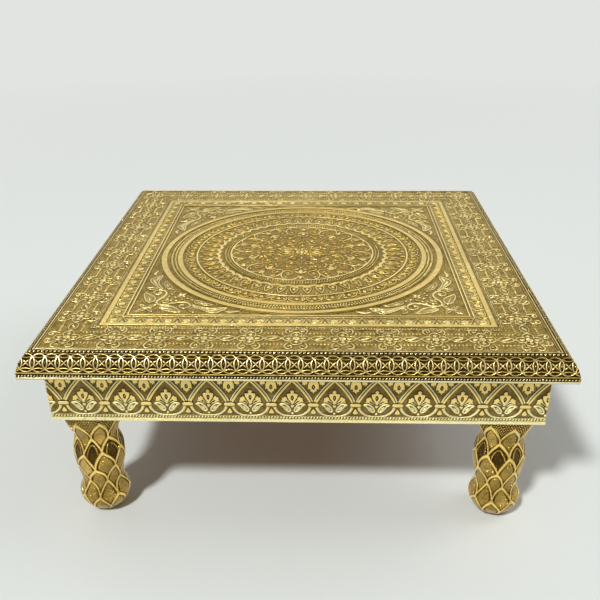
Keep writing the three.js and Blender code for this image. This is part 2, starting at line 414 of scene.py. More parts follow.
def addSpline(curve, points, widths, closed, lift=0):
    spline = curve.splines.new("BEZIER")
    spline.bezier_points.add(len(points) - 1)
    spline.use_cyclic_u = closed
    span = np.linspace(0, 1, len(points))
    given = np.atleast_1d(widths)
    for knot, point, share in zip(spline.bezier_points, points, span):
        knot.co = (point[0], point[1], lift)
        kind = "VECTOR" if len(point) > 2 else "AUTO"
        knot.handle_left_type = kind
        knot.handle_right_type = kind
        knot.radius = float(np.interp(share, np.linspace(0, 1, len(given)), given))


def meshFromCurve(curve):
    holder = addObject(curve.name, curve)
    bpy.context.view_layer.update()
    graph = bpy.context.evaluated_depsgraph_get()
    mesh = bpy.data.meshes.new_from_object(holder.evaluated_get(graph), depsgraph=graph)
    bpy.data.objects.remove(holder)
    bpy.data.curves.remove(curve)
    return mesh


def meshOf(name, bm):
    mesh = bpy.data.meshes.new(name)
    bm.to_mesh(mesh)
    bm.free()
    return mesh


def pour(bm, mesh):
    bm.from_mesh(mesh)
    bpy.data.meshes.remove(mesh)


def change(mesh, step):
    bm = bmesh.new()
    bm.from_mesh(mesh)
    step(bm)
    bm.to_mesh(mesh)
    bm.free()


def merge(bm, part):
    pour(bm, meshOf("part", part))


def weld(bm, distance):
    bmesh.ops.remove_doubles(bm, verts=bm.verts, dist=distance)


def pourCurve(bm, curve, lift=0):
    mesh = meshFromCurve(curve)
    mesh.transform(Matrix.Translation((0, 0, lift)))
    welded = bmesh.new()
    pour(welded, mesh)
    weld(welded, embossing["weld"])
    merge(bm, welded)


# Rounded strokes: each is (points, widths, closed, lift); a point with a third number is sharp
def drawStrokes(bm, strokes, steps=None, swell=None, section=beadSection):
    curve = bpy.data.curves.new("strokes", "CURVE")
    curve.dimensions = "3D"
    curve.twist_mode = "Z_UP"
    curve.bevel_mode = "OBJECT"
    curve.bevel_object = section
    curve.use_fill_caps = True
    curve.resolution_u = steps or embossing["steps"]
    for points, widths, closed, lift in strokes:
        addSpline(curve, points, np.multiply(widths, swell or embossing["swell"]), closed, lift)
    pourCurve(bm, curve)


def flatCurve(name, extrude, offset, steps):
    curve = bpy.data.curves.new(name, "CURVE")
    curve.dimensions = "2D"
    curve.fill_mode = "BOTH"
    curve.extrude = extrude
    curve.offset = offset
    curve.resolution_u = steps
    return curve


# Flat plaques with a soft edge, on a thin foot painted dark as shade around each plaque: each is an outline
# followed by its holes
def drawPlaques(bm, plaques, height, foot=True):
    sink = embossing["sink"]
    edge = min(embossing["plaqueEdge"], (height + sink) / 2 - embossing["edgeSpare"])
    for outlines in plaques:
        if foot:
            under = flatCurve("plaqueFoot", embossing["footLift"], embossing["foot"], embossing["footSteps"])
            addSpline(under, outlines[0], 1, True)
            pourCurve(bm, under)
        plaque = flatCurve("plaque", height / 2 + sink / 2 - edge, -edge, embossing["steps"])
        plaque.bevel_depth = edge
        plaque.bevel_resolution = 1
        for outline in outlines:
            addSpline(plaque, outline, 1, True)
        pourCurve(bm, plaque, (height - sink) / 2)


def line(points, widths, lift=0):
    return (points, widths, False, lift)


def loop(points, widths, lift=0):
    return (points, widths, True, lift)


# The same strokes with each point put where a rule says
def moved(strokes, rule):
    return [([(*rule(*p[:2]), *p[2:]) for p in points], *rest) for points, *rest in strokes]


def mirrored(strokes):
    return strokes + moved(strokes, lambda x, y: (-x, y))


def shifted(strokes, across, up):
    return moved(strokes, lambda x, y: (x + across, y + up))


def turned(strokes, *turns):
    made = []
    for turn in np.radians(turns):
        c, s = math.cos(turn), math.sin(turn)
        made += moved(strokes, lambda x, y: (c * x - s * y, s * x + c * y))
    return made


def flipped(outline, axis=0):
    return [(2 * axis - p[0], *p[1:]) for p in outline]


# A half outline joined to its mirror image in the upright line at axis
def mirroredOutline(half, axis=0):
    return half + [p for p in reversed(flipped(half, axis)) if abs(p[0] - axis) > embossing["onAxis"]]


def addBead(bm, place, size, slant=0):
    turn = Matrix.Rotation(slant, 4, "Z")
    shape = Matrix.Diagonal((size[0] / 2, size[1] / 2, size[2], 1))
    bmesh.ops.create_uvsphere(
        bm, u_segments=embossing["beadSides"], v_segments=embossing["beadRows"], radius=1,
        matrix=Matrix.Translation((*place, 0)) @ turn @ shape)


def addBar(bm, low, high, bevel):
    made = bmesh.ops.create_cube(bm, size=1)["verts"]
    middle = [(a + b) / 2 for a, b in zip(low, high)]
    spread = [b - a for a, b in zip(low, high)]
    bmesh.ops.scale(bm, vec=spread, verts=made)
    bmesh.ops.translate(bm, vec=middle, verts=made)
    if bevel:
        edges = {edge for vert in made for edge in vert.link_edges}
        raised = [edge for edge in edges if all(vert.co.z > middle[2] for vert in edge.verts)]
        bmesh.ops.bevel(bm, geom=raised, offset=bevel, segments=2, profile=0.5, affect="EDGES", material=-1)


def addBands(bm, bands, reach):
    for low, high, tall in bands:
        part = bmesh.new()
        bevel = min(embossing["bandBevel"], tall / 2, (high - low) / 3)
        addBar(part, (-reach, low, -embossing["bandSink"]), (reach, high, tall), bevel)
        merge(bm, part)


def addGround(bm, low, high, rows):
    part = bmesh.new()
    made = bmesh.ops.create_grid(part, x_segments=2, y_segments=rows, size=0.5)["verts"]
    bmesh.ops.scale(part, vec=(high[0] - low[0], high[1] - low[1], 1), verts=made)
    slide(part, (low[0] + high[0]) / 2, (low[1] + high[1]) / 2)
    lower = bmesh.ops.extrude_face_region(part, geom=part.faces[:])["geom"]
    lower = [item for item in lower if isinstance(item, bmesh.types.BMVert)]
    bmesh.ops.translate(part, vec=(0, 0, -embossing["groundDepth"]), verts=lower)
    bmesh.ops.recalc_face_normals(part, faces=part.faces)
    merge(bm, part)


def everything(bm):
    return bm.verts[:] + bm.edges[:] + bm.faces[:]


def repeat(bm, count, **motion):
    bmesh.ops.spin(bm, geom=everything(bm), cent=(0, 0, 0), axis=(0, 0, 1), steps=count - 1,
                   use_duplicate=True, **motion)


def repeatAlong(bm, pitch, start, count):
    slide(bm, start, 0)
    repeat(bm, count, dvec=(pitch, 0, 0), angle=0)


def repeatRound(bm, count):
    repeat(bm, count, angle=2 * math.pi / count * (count - 1))


def beadRow(bm, height, reach, pitch, size, slant):
    part = bmesh.new()
    addBead(part, (0, height), size, slant)
    repeatAlong(part, pitch, -reach, int(2 * reach / pitch) + 1)
    merge(bm, part)


def trim(bm, place, outward):
    cut = bmesh.ops.bisect_plane(bm, geom=everything(bm), dist=embossing["onPlane"], plane_co=place,
                                 plane_no=outward, clear_outer=True)["geom_cut"]
    edges = [item for item in cut if isinstance(item, bmesh.types.BMEdge)]
    bmesh.ops.holes_fill(bm, edges=edges, sides=0)


def mitre(bm):
    trim(bm, (0, 0, 0), (1, 1, 0))
    trim(bm, (0, 0, 0), (-1, 1, 0))


def slide(bm, across, up, lift=0):
    bmesh.ops.translate(bm, vec=(across, up, lift), verts=bm.verts)


def rotate(bm, turn):
    bmesh.ops.rotate(bm, cent=(0, 0, 0), matrix=Matrix.Rotation(turn, 3, "Z"), verts=bm.verts)


def squeezeHeights(places):
    tallest = embossing["tallest"]
    heights = places[:, 2]
    level = np.sin(np.clip(heights / tallest, 0, 1) * math.pi / 2) * tallest * embossing["headroom"]
    places[:, 2] = np.where(heights > 0, level, heights)


def markCrest(mesh, crest):
    attribute = mesh.attributes.new("crest", "FLOAT", "POINT")
    attribute.data.foreach_set("value", crest.astype(np.float32))


def layRelief(bm, name, fit, mitred=False, groundCrest=0):
    mesh = meshOf(name, bm)
    places = np.empty(len(mesh.vertices) * 3)
    mesh.vertices.foreach_get("co", places)
    places = places.reshape(-1, 3)
    crest = np.clip(places[:, 2], 0, 1)
    crest[np.abs(places[:, 2]) < embossing["onGround"]] = groundCrest
    markCrest(mesh, crest)
    mesh.vertices.foreach_set("co", (fit(places) * millimetre).astype(np.float32).ravel())
    if mitred:
        change(mesh, mitre)
    mesh.polygons.foreach_set("use_smooth", np.ones(len(mesh.polygons), bool))
    mesh.set_sharp_from_angle(angle=embossing["sharpAngle"])
    mesh.update()
    return mesh


def addPiece(name, mesh, material, slot, *replaced):
    piece = addObject(name, mesh)
    mesh.materials.clear()
    mesh.materials.append(material)
    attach(piece, "root")
    if replaced:
        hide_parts(*replaced)


def turnedCopy(mesh, turn):
    copy = mesh.copy()
    copy.transform(Matrix.Rotation(turn * math.pi / 2, 4, "Z"))
    return copy


def addOnFourSides(name, mesh, material, slot, replaced):
    for turn, side in enumerate(sides):
        addPiece(f"{name}_{side}", turnedCopy(mesh, turn), material, slot, f"{replaced}_{side}")
    bpy.data.meshes.remove(mesh)
    print(name, "on four sides")


table = {
    "half": 228.6,
    "top": 186,
}

# Apron: pointed arches with a palmette in each, tulips between them, and corded edges
apron = {
    "ground": 211.25,
    "sheetBack": 211,
    "top": -21.32,
    "foot": -72.9,
    "pitch": 35.7,
    "firstArch": -3.1,
    "archesEachWay": 6,
    "lip": 2.9,
    "cordPitch": 2.6,
    "cordHeights": (-26, -68.2),
    "cordBead": (3.1, 1.7, 0.8),
    "cordSlant": 0.75,
    "groundCrest": 0.2,
    "swell": 1.15,
    "lipHeight": 1,
    "lipBevel": 0.45,
    "cordLine": (1.45, 0.25, 0.35, 0.12),
    "plaque": 0.8,
    "archBead": ((0, -64), (2.7, 2.7, 0.65)),
    "overrun": 3,
    "cordOverrun": 2,
}


# A band beside a half arch, mirrored into a whole arch with a pointed top
def archBand(inner, outer):
    outside = flipped(outer[:0:-1]) + [(*outer[0], 1)] + outer[1:-1] + [(*outer[-1], 1)]
    inside = [(*inner[-1], 1)] + inner[-2:0:-1] + [(*inner[0], 1)] + flipped(inner[1:-1])
    return outside + inside + flipped([(*inner[-1], 1)])


def apronMotif(bm, look):
    edge = look["pitch"] / 2
    ribOuter = [(0, -29.8), (6.6, -37.2), (11.2, -43.5), (14.1, -48.3), (15.9, -52.3)]
    ribInner = [(0, -32.2), (5.3, -38.3), (9.8, -44.5), (12.7, -49.3), (14.4, -52.5)]
    lowerRib = [(15.2, -57.4), (14.2, -60.1), (11.6, -63.3), (8, -65.5), (3.6, -66.2), (0, -66.3)]
    edgeLine = [(0, -28.2, 1), (7.75, -36.5), (12.25, -42.7), (15.15, -47.5), (16.95, -51.6)]
    strokes = mirrored([
        line(lowerRib, [2, 1.9, 1.7, 1.5, 1.3, 1.2], -0.1),
        line(edgeLine, 1.2, 0.05),
        line([(0.9, -54.6), (2.2, -52.9), (4, -51.1), (5.6, -49.7)], [0.5, 0.9, 1.1, 1.2]),
        line([(1.3, -55.4), (3.2, -54.2), (5.2, -53.1), (7.3, -52)], [0.5, 0.9, 1, 1.1]),
        loop([(10.7, -54.9, 1), (8, -54.3), (5.2, -55.3), (3.1, -57.6), (1.8, -60.2), (2.1, -61.7),
              (3.6, -61.9), (5.6, -60.3), (7.2, -58.2), (8.5, -56.4)], 1.25, 0.1),
        line([(6.6, -56.6), (5, -58.4), (3.6, -60.2)], [0.7, 1.4, 1.1], 0.1),
    ])
    strokes += [
        line([(0, -55.2), (0, -56.6), (0, -58.8)], [1.8, 2.1, 0.4]),
        line([(0, -46.9), (0, -48.2), (0, -49.8)], [0.8, 1, 0.3]),
        line([(edge, -36), (edge, -37.9)], [0.6, 1.2]),
    ]
    drawStrokes(bm, strokes, swell=look["swell"])
    petalHalf = [(0, -39.9, 1), (1.6, -41.5), (1.1, -43.3, 1), (2.8, -43.6), (4.6, -43.9, 1), (4.3, -46.6),
                 (3.3, -49), (1.5, -52), (0.6, -54.2)]
    seed = [(0, -45.4), (1.3, -47.4), (0.9, -49.4), (0, -51, 1), (-0.9, -49.4), (-1.3, -47.4)]
    trefoil = [(4.4, -49.4), (4.9, -47.7), (6.4, -46.4, 1), (7.3, -47.8), (8.8, -48.4), (8.8, -50.1),
               (9.7, -52.2, 1), (7.9, -52.2), (6.2, -51.6)]
    clasp = [(edge, -53.5), (14.2, -53.6), (13.3, -54.3), (13.3, -55.7), (14.2, -56.4), (edge, -56.5)]
    kite = [(edge, -58.8, 1), (16.1, -61.6), (15.7, -63.2), (edge, -64)]
    tulip = [(edge, -30.5), (15, -31.3), (13.5, -34.2), (13.2, -37.2), (13.2, -39.8, 1), (14.8, -38.9),
             (15.2, -41.2, 1), (16.6, -41.6), (edge, -43.9, 1)]
    hanging = [(12.6, -30.2), (12.9, -32.6), (12.4, -34.8, 1), (11.2, -34.4), (10.6, -36.6, 1), (9.8, -34.8),
               (8.5, -34.9, 1), (8.5, -32.4), (7.8, -30.6)]
    drop = [(edge, -34.4, 1), (16.7, -36.2), (16.6, -38), (edge, -39.3), (19.1, -38), (19, -36.2)]
    drawPlaques(bm, [
        [mirroredOutline(petalHalf), seed], [trefoil], [flipped(trefoil)], [hanging], [flipped(hanging)],
        [mirroredOutline(tulip, edge), drop], [mirroredOutline(clasp, edge)], [mirroredOutline(kite, edge)],
        [archBand(ribInner, ribOuter)],
    ], look["plaque"])
    addBead(bm, *look["archBead"])


def buildApron(look):
    bm = bmesh.new()
    apronMotif(bm, look)
    start = look["firstArch"] - look["archesEachWay"] * look["pitch"]
    repeatAlong(bm, look["pitch"], start, 2 * look["archesEachWay"] + 1)
    reach = look["ground"] + look["cordOverrun"]
    for height in look["cordHeights"]:
        beadRow(bm, height, reach, look["cordPitch"], look["cordBead"], look["cordSlant"])
    reach = look["ground"] + look["overrun"]
    lift = look["sheetBack"] - look["ground"]
    addBar(bm, (-reach, look["foot"], lift), (reach, look["top"], 0), 0)
    for low, high in ((look["foot"], look["foot"] + look["lip"]), (look["top"] - look["lip"], look["top"])):
        addBar(bm, (-reach, low, lift / 2), (reach, high, look["lipHeight"]), look["lipBevel"])
    away, half, tall, bevel = look["cordLine"]
    for height in look["cordHeights"]:
        for side in (-away, away):
            addBar(bm, (-reach, height + side - half, lift / 2), (reach, height + side + half, tall), bevel)

    def fit(places):
        squeezeHeights(places)
        return np.column_stack([places[:, 0], -look["ground"] - places[:, 2], table["top"] + places[:, 1]])
    return layRelief(bm, "apronRelief", fit, True, look["groundCrest"])


addOnFourSides("apron_relief", buildApron(apron), golds["apronGold"], "apron_gold", "apron_sheet")


# Moulding: a row of overlapping circles with a cross in each, between two cords
moulding = {
    "run": 12.5,
    "drop": 17,
    "shoulder": 0.55,
    "bottom": 21.8,
    "hem": ((0.4, 0.02), (8, 0.45)),
    "hemCrest": 0.4,
    "curveSteps": 200,
    "filletSteps": 20,
    "groundRows": 48,
    "overrun": 2,
    "pitch": 10.4,
    "firstLens": 4.7,
    "cellsEachWay": 23,
    "circleHeight": -12,
    "circleSpread": (7.1, 7.6),
    "circleWidth": 0.95,
    "swell": 1.5,
    "circleWidths": [1.25, 1.05, 0.95, 1.05] * 2,
    "rayReach": (0.1, 1.3, 2.5),
    "upperCord": (-1.7, 3.45, (3, 1.8, 0.9), 0.25),
    "lowerCord": (-23.4, 2.6, (2.7, 1.6, 0.85), 0.7),
    "bands": [(-4.1, -3.4, 0.45), (-21.6, -20.3, 0.5), (-26.35, -24.7, 0.95)],
}


def mouldPath(look):
    start = np.array([look["run"], 0])
    end = np.array([0, -look["drop"]])
    control = (start + end) / 2 * (1 - look["shoulder"])
    share = np.linspace(0, 1, look["curveSteps"])[:, None]
    curve = (1 - share) ** 2 * start + 2 * share * (1 - share) * control + share ** 2 * end
    down = np.linspace(-look["drop"], -look["bottom"], look["filletSteps"] + 1)[1:]
    fillet = np.column_stack([np.zeros(len(down)), down])
    path = np.vstack([curve, fillet])
    steps = np.gradient(path, axis=0)
    steps /= np.linalg.norm(steps, axis=1)[:, None]
    normals = np.column_stack([steps[:, 1], -steps[:, 0]])
    length = np.concatenate([[0], np.cumsum(np.linalg.norm(np.diff(path, axis=0), axis=1))])
    return length, path, normals


def mouldFit(look):
    length, path, normals = mouldPath(look)

    def fit(places):
        squeezeHeights(places)
        along = -places[:, 1]
        inset, height = (np.interp(along, length, path[:, i]) for i in (0, 1))
        inward, upward = (np.interp(along, length, normals[:, i]) for i in (0, 1))
        off = places[:, 2] - embossing["tallest"]
        return np.column_stack([places[:, 0], -table["half"] + inset + inward * off,
                                table["top"] + height + upward * off])
    return fit


def ring(middle, spread, count=8):
    turns = [2 * math.pi * i / count for i in range(count)]
    return [(middle[0] + spread[0] * math.cos(a), middle[1] + spread[1] * math.sin(a)) for a in turns]


def mouldCell(bm, look):
    half = look["pitch"] / 2
    height = look["circleHeight"]
    width = look["circleWidth"]
    cusp = [(-0.9, 6.9), (1.3, 5.3), (half, 4.4), (look["pitch"] - 1.3, 5.3), (look["pitch"] + 0.9, 6.9)]
    strokes = [loop(ring((half, height), look["circleSpread"]), look["circleWidths"])]
    for way in (1, -1):
        strokes.append(line([(x, height + way * y) for x, y in cusp], [0.6, width, width, width, 0.6]))
    drawStrokes(bm, strokes, 3, look["swell"])
    rays = [line([(0, height + 3.2), (0, height), (0, height - 3.2)], [0.3, 0.9, 0.3])]
    for slope, way in ((-1, -1), (-1, 1), (1, -1), (1, 1)):
        ray = [(half + way * reach, height + way * slope * reach) for reach in look["rayReach"]]
        rays.append(line(ray, [0.95, 1.1, 0.9]))
    drawStrokes(bm, rays, 2, look["swell"])


# The sheet's hem, turned under the moulding
def addHem(mesh, look, reach):
    bottom = table["top"] - look["bottom"]
    low, high = ((inset - table["half"], bottom + lift) for inset, lift in look["hem"])
    hem = bmesh.new()
    addBar(hem, (-reach, *low), (reach, *high), 0)
    bmesh.ops.scale(hem, vec=(millimetre,) * 3, verts=hem.verts)
    mitre(hem)
    before = len(mesh.vertices)
    change(mesh, lambda bm: merge(bm, hem))
    for value in mesh.attributes["crest"].data[before:]:
        value.value = look["hemCrest"]


def buildMoulding(look):
    bm = bmesh.new()
    mouldCell(bm, look)
    start = look["firstLens"] - look["cellsEachWay"] * look["pitch"]
    repeatAlong(bm, look["pitch"], start, 2 * look["cellsEachWay"])
    reach = table["half"] + look["overrun"]
    for height, pitch, size, slant in (look["upperCord"], look["lowerCord"]):
        beadRow(bm, height, reach, pitch, size, slant)
    addBands(bm, look["bands"], reach)
    addGround(bm, (-reach, -mouldPath(look)[0][-1]), (reach, 0), look["groundRows"])
    mesh = layRelief(bm, "mouldingRelief", mouldFit(look), True)
    addHem(mesh, look, reach)
    return mesh


addOnFourSides("moulding_relief", buildMoulding(moulding), golds["edgeGold"], "edge_gold", "moulding_sheet")


# Border of the top: rosettes with four curls, lenses and rows of beads between them
def topFit(places):
    squeezeHeights(places)
    return np.column_stack([places[:, 0], places[:, 1] - table["half"],
                            table["top"] - embossing["tallest"] + places[:, 2]])


border = {
    "outer": 12.5,
    "inner": 54.78,
    "middle": 34.8,
    "pitch": 38.76,
    "rosettesEachWay": 5,
    "line": 0.95,
    "button": (1.6, 1.6, 0.7),
    "beadPitch": 3,
    "beads": 6,
    "bead": (2, 2.5, 0.6),
    "beadRows": (9, -9.8),
    "bands": [(13.2, 14.2, 0.6), (15.6, 16.2, 0.35), (50.9, 51.5, 0.4), (54.1, 54.7, 0.4)],
    "cordInset": 52.8,
    "groundCrest": 0.2,
    "cord": (2.4, (2.3, 1.2, 0.55), 0.6),
}


def aroundPoint(middle, radius, start, end, count):
    turns = np.radians(np.linspace(start, end, count))
    return [(middle[0] + radius * math.cos(a), middle[1] + radius * math.sin(a)) for a in turns]


def rosette(look):
    width = look["line"]
    lobe = [line(aroundPoint((0, 6.3), 4.5, -48, 228, 9), width),
            line([(0, 3.6), (0, 6), (0, 8.4)], [0.5, 2.2, 0.7])]
    petal = [line([(0, 0.9), (0.9, 1.9), (0, 3.6)], [0.6, 1.3, 0.4])]
    strokes = turned(lobe, *quarterTurns) + turned(petal, *range(22, 382, 45))
    curlWidths = [0.6, 1.1, 1.2, 1.1, 1, 0.9, 0.9, 1, 1.4]
    upperCurl = line([(6.5, 6.6), (8.6, 9.6), (9.2, 12.8), (8, 15.9), (5.4, 16.8), (3.3, 15),
                      (3.8, 12.8), (5.6, 12.3), (6.3, 13.6)], curlWidths)
    lowerCurl = line([(5.8, -6.6), (8.3, -10), (9.2, -13.6), (7.4, -16.9), (4.4, -16.7), (3, -14.3),
                      (4.2, -12.5), (5.9, -12.9), (6.1, -14.3)], curlWidths)
    return strokes + mirrored([upperCurl, lowerCurl])


def lens(look):
    strand = [(-9.4, 2.6), (-7.2, 0.2), (-4.2, -3), (0, -3.9), (4.2, -3), (7.2, 0.2), (9.4, 2.6)]
    widths = [0.6] + [look["line"]] * 5 + [0.6]
    return [line(strand, widths), line([(x, -y) for x, y in strand], widths),
            line([(-4.6, -1), (-1.4, -0.9), (1.4, 0.9), (4.6, 1)], [0.4, 1.6, 1.6, 0.4])]


def buildBorder(look):
    bm = bmesh.new()
    half, middle = look["pitch"] / 2, look["middle"]
    drawStrokes(bm, shifted(rosette(look), 0, middle))
    drawStrokes(bm, shifted(lens(look), half, middle))
    addBead(bm, (0, middle), look["button"])
    for height in look["beadRows"]:
        for i in range(look["beads"]):
            across = half + (i - (look["beads"] - 1) / 2) * look["beadPitch"]
            addBead(bm, (across, middle + height), look["bead"])
    repeatAlong(bm, look["pitch"], -(look["rosettesEachWay"] + 1) * look["pitch"],
                2 * look["rosettesEachWay"] + 2)
    addBands(bm, look["bands"], table["half"])
    beadRow(bm, look["cordInset"], table["half"], *look["cord"])
    addGround(bm, (-table["half"], look["outer"]), (table["half"], look["inner"]), 2)
    return layRelief(bm, "borderRelief", topFit, True, look["groundCrest"])


addOnFourSides("border_relief", buildBorder(border), golds["topGold"], "top_gold", "border_sheet")


# Frame: a plain band, half-moons with a button in each, and two fine lines
frameLook = {
    "pitch": 16.2,
    "unitsEachWay": 11,
    "middle": 66.2,
    "button": (8.6, 7.6, 0.95),
    "pearls": (1.9, 70.8, (2.2, 1.5, 0.6), 0.5),
    "bands": [(56.7, 61, 0.95), (72.7, 73.9, 0.7), (76.1, 77.3, 0.8)],
}


def buildFrame(look):
    bm = bmesh.new()
    half = look["pitch"] / 2
    moon = [(8.7, 71.8), (7.2, 69.6), (5.9, 66.4), (3.9, 63.2), (0, 61.9)]
    drawStrokes(bm, mirrored([line(moon, [0.6, 1, 1.15, 1.2, 1.2])]) + [
        line([(half, 61.6), (half, 63.6), (half, 66.6)], [1.6, 1.8, 0.4]),
        line([(half, 71.9), (half, 70.4)], [1.5, 0.5]),
    ])
    addBead(bm, (0, look["middle"]), look["button"])
    across, up, size, slant = look["pearls"]
    for way in (-1, 1):
        addBead(bm, (way * across, up), size, way * slant)
    repeatAlong(bm, look["pitch"], -look["unitsEachWay"] * look["pitch"], 2 * look["unitsEachWay"] + 1)
    addBands(bm, look["bands"], table["half"])
    return layRelief(bm, "frameRelief", topFit, True)


def allSides(mesh):
    bm = bmesh.new()
    for turn in range(4):
        pour(bm, turnedCopy(mesh, turn))
    bm.to_mesh(mesh)
    bm.free()
    return mesh


addPiece("frame_relief", allSides(buildFrame(frameLook)), golds["roundGold"], "top_gold")
print("frame_relief")


# Corner sprays: a four-petalled flower, leaves, a curl and a big feathered leaf on either side
sprays = {
    "start": (-151.3, 77.3),
    "fill": 0.23,
    "heart": 13.3,
    "crossing": 41.2,
    "beads": [(25.4, 34.2), (29.6, 37.6), (31.8, 42.6), (33.2, 47.8), (30.4, 52.4), (35.2, 36.4),
              (29.4, 33)],
    "bead": (2.9, 2.5, 0.85),
    "beadSlant": 0.8,
    "buttons": ((2.6, 2.6, 0.8), (2, 2, 0.8)),
}


def spray(look):
    half = [
        loop([(5.8, 45.8, 1), (5.6, 40.5), (7.6, 34), (11.4, 26.9), (14, 25.2), (16.6, 27),
              (17.8, 32.5), (15, 38.4), (10.2, 42.6)], 1.15),
        line([(13.8, 27), (12.2, 33), (8.4, 41)], [1.6, 1.3, 0.4]),
        loop([(4.6, 57.6, 1), (9, 57.4), (15, 57.6), (14.6, 55.4), (11.4, 52.9), (6.9, 53.9)], 0.9),
        line([(24.4, 18.6), (20.4, 24.5), (20.6, 29.6), (23.4, 35), (25.9, 41.5), (25, 47.6),
              (20.9, 51.8), (16.3, 52.2), (13.6, 49), (14.2, 44.6), (17.5, 42.6), (20.4, 44.4),
              (19.6, 46.9)],
             [0.8, 1.4, 1.5, 1.5, 1.5, 1.5, 1.4, 1.2, 1.1, 1, 1.1, 1.4, 2.2]),
        loop([(19.6, 54.5), (15.6, 58.5), (9.3, 66), (5.3, 72.4), (4.8, 77.6), (7.6, 80.8), (9.4, 83.2),
              (14.4, 86.9, 1), (14.3, 80), (13.3, 74), (14.6, 66), (18, 58.6)], 1.2),
        line([(8.3, 78.5), (8.6, 73.5), (11.4, 67.5), (15.8, 60.5)], [0.5, 1.9, 1.5, 0.7]),
        line([(12.3, 82.6), (10.8, 77.5), (11.6, 72)], [1.6, 1.8, 0.7]),
        line([(8.6, 84.4), (5.8, 90.5), (7.4, 96.5), (8, 101)], [0.6, 2, 1.4, 0.4]),
        loop([(20.4, 73.6, 1), (19.2, 67.6), (21.6, 60.9), (25.4, 55.4), (28.6, 55.6), (27.6, 61.6),
              (23.6, 67.4)], 0.95),
        line([(21.4, 69), (23.6, 62), (26.4, 57.6)], [0.4, 1.5, 0.7]),
        loop([(13.3, 14), (10.3, 14.4), (7.6, 16.4), (5.6, 19.6, 1), (9.4, 19), (12, 17.2)], 0.9),
    ]
    across = moved(half, lambda x, y: (y, x))
    onDiagonal = [
        loop([(14.4, 14.4), (15.2, 17.4), (17.6, 19.6), (21, 20.2, 1), (20.2, 17.4), (17.6, 15.2)], 0.9),
        loop([(12.2, 12.2), (11.4, 9), (8.6, 6.4), (5, 4.6, 1), (6.6, 8.2), (9.2, 11.2)], 0.9),
        loop([(25.4, 25.4), (25.8, 29.6), (30.2, 30.8), (31.2, 26.8), (29.2, 24.6)], 0.9),
    ]
    petal = [line([(0.5, 0.5), (2, 1.6), (4.2, 3.6)], [0.9, 1.9, 0.4])]
    flower = shifted(turned(petal, *quarterTurns), look["crossing"], look["crossing"])
    return half + across + onDiagonal + flower


def buildCorners(look):
    bm = bmesh.new()
    strokes = spray(look)
    drawStrokes(bm, strokes)
    drawPlaques(bm, [[points] for points, widths, closed, lift in strokes if closed], look["fill"], False)
    for place in look["beads"]:
        for spot in (place, place[::-1]):
            addBead(bm, spot, look["bead"], look["beadSlant"])
    for place, size in zip((look["heart"], look["crossing"]), look["buttons"]):
        addBead(bm, (place, place), size)
    slide(bm, *look["start"])
    return layRelief(bm, "cornerRelief", topFit)


addPiece("corner_relief", allSides(buildCorners(sprays)), golds["topGold"], "top_gold")
print("corner_relief")


# Plates under the raised work of the top, each with its own tone
plates = {
    "depth": 0.25,
    "fieldCrest": 0.2,
    "frame": (61.2, 72.6),
    "frameLift": 0.05,
    "frameCrest": 0.3,
    "roundRadius": 75,
    "roundSides": 96,
    "roundLift": 0.03,
    "roundCrest": 0.28,
}


def addPlate(name, bm, crest, gold, *replaced):
    bmesh.ops.scale(bm, vec=(millimetre,) * 3, verts=bm.verts)
    mesh = meshOf(name, bm)
    markCrest(mesh, np.full(len(mesh.vertices), crest))
    addPiece(name, mesh, golds[gold], "top_gold", *replaced)


def addTopPlates(look):
    ground = table["top"] - embossing["tallest"]
    low = ground - look["depth"]
    reach = table["half"] - border["inner"]
    field = bmesh.new()
    addBar(field, (-reach, -reach, low), (reach, reach, ground), 0)
    addPlate("top_ground", field, look["fieldCrest"], "topGold", "top_sheet")
    outer, inner = (table["half"] - inset for inset in look["frame"])
    frameStrip = bmesh.new()
    for turn in range(4):
        strip = bmesh.new()
        addBar(strip, (-outer, -outer, low), (outer, -inner, ground + look["frameLift"]), 0)
        mitre(strip)
        rotate(strip, turn * math.pi / 2)
        merge(frameStrip, strip)
    addPlate("frame_ground", frameStrip, look["frameCrest"], "topGold")
    disc = bmesh.new()
    radius = look["roundRadius"]
    bmesh.ops.create_cone(disc, cap_ends=True, segments=look["roundSides"], radius1=radius, radius2=radius,
                          depth=look["depth"])
    slide(disc, 0, 0, ground + look["roundLift"] - look["depth"] / 2)
    addPlate("round_ground", disc, look["roundCrest"], "roundGold")


addTopPlates(plates)
print("plates of the top")


# Round: raised rings, a chain of scrolls, a row of drops, and a rosette of ten in the middle
def roundFit(places):
    squeezeHeights(places)
    return places + [0, 0, table["top"] - embossing["tallest"]]


def ringBand(bm, outer, inner, tall, edge):
    part = bmesh.new()
    low = -embossing["bandSink"]
    section = [(inner, low), (outer, low), (outer, tall - edge), (outer - edge, tall), (inner + edge, tall),
               (inner, tall - edge)]
    knots = [part.verts.new((0, radius, height)) for radius, height in section]
    edges = [part.edges.new((knots[i - 1], knots[i])) for i in range(1, len(knots))]
    edges.append(part.edges.new((knots[-1], knots[0])))
    bmesh.ops.spin(part, geom=knots + edges, cent=(0, 0, 0), axis=(0, 0, 1), dvec=(0, 0, 0),
                   angle=2 * math.pi, steps=rings["steps"], use_merge=True)
    bmesh.ops.recalc_face_normals(part, faces=part.faces)
    merge(bm, part)


def beadRing(bm, radius, count, size, slant=0, lift=0):
    part = bmesh.new()
    addBead(part, (0, radius), size, slant)
    slide(part, 0, 0, lift)
    repeatRound(part, count)
    merge(bm, part)


def ringOf(bm, strokes, count, turn=0, beads=(), steps=None):
    part = bmesh.new()
    drawStrokes(part, strokes, steps)
    for place, size in beads:
        addBead(part, place, size)
    repeatRound(part, count)
    rotate(part, math.radians(turn))
    merge(bm, part)


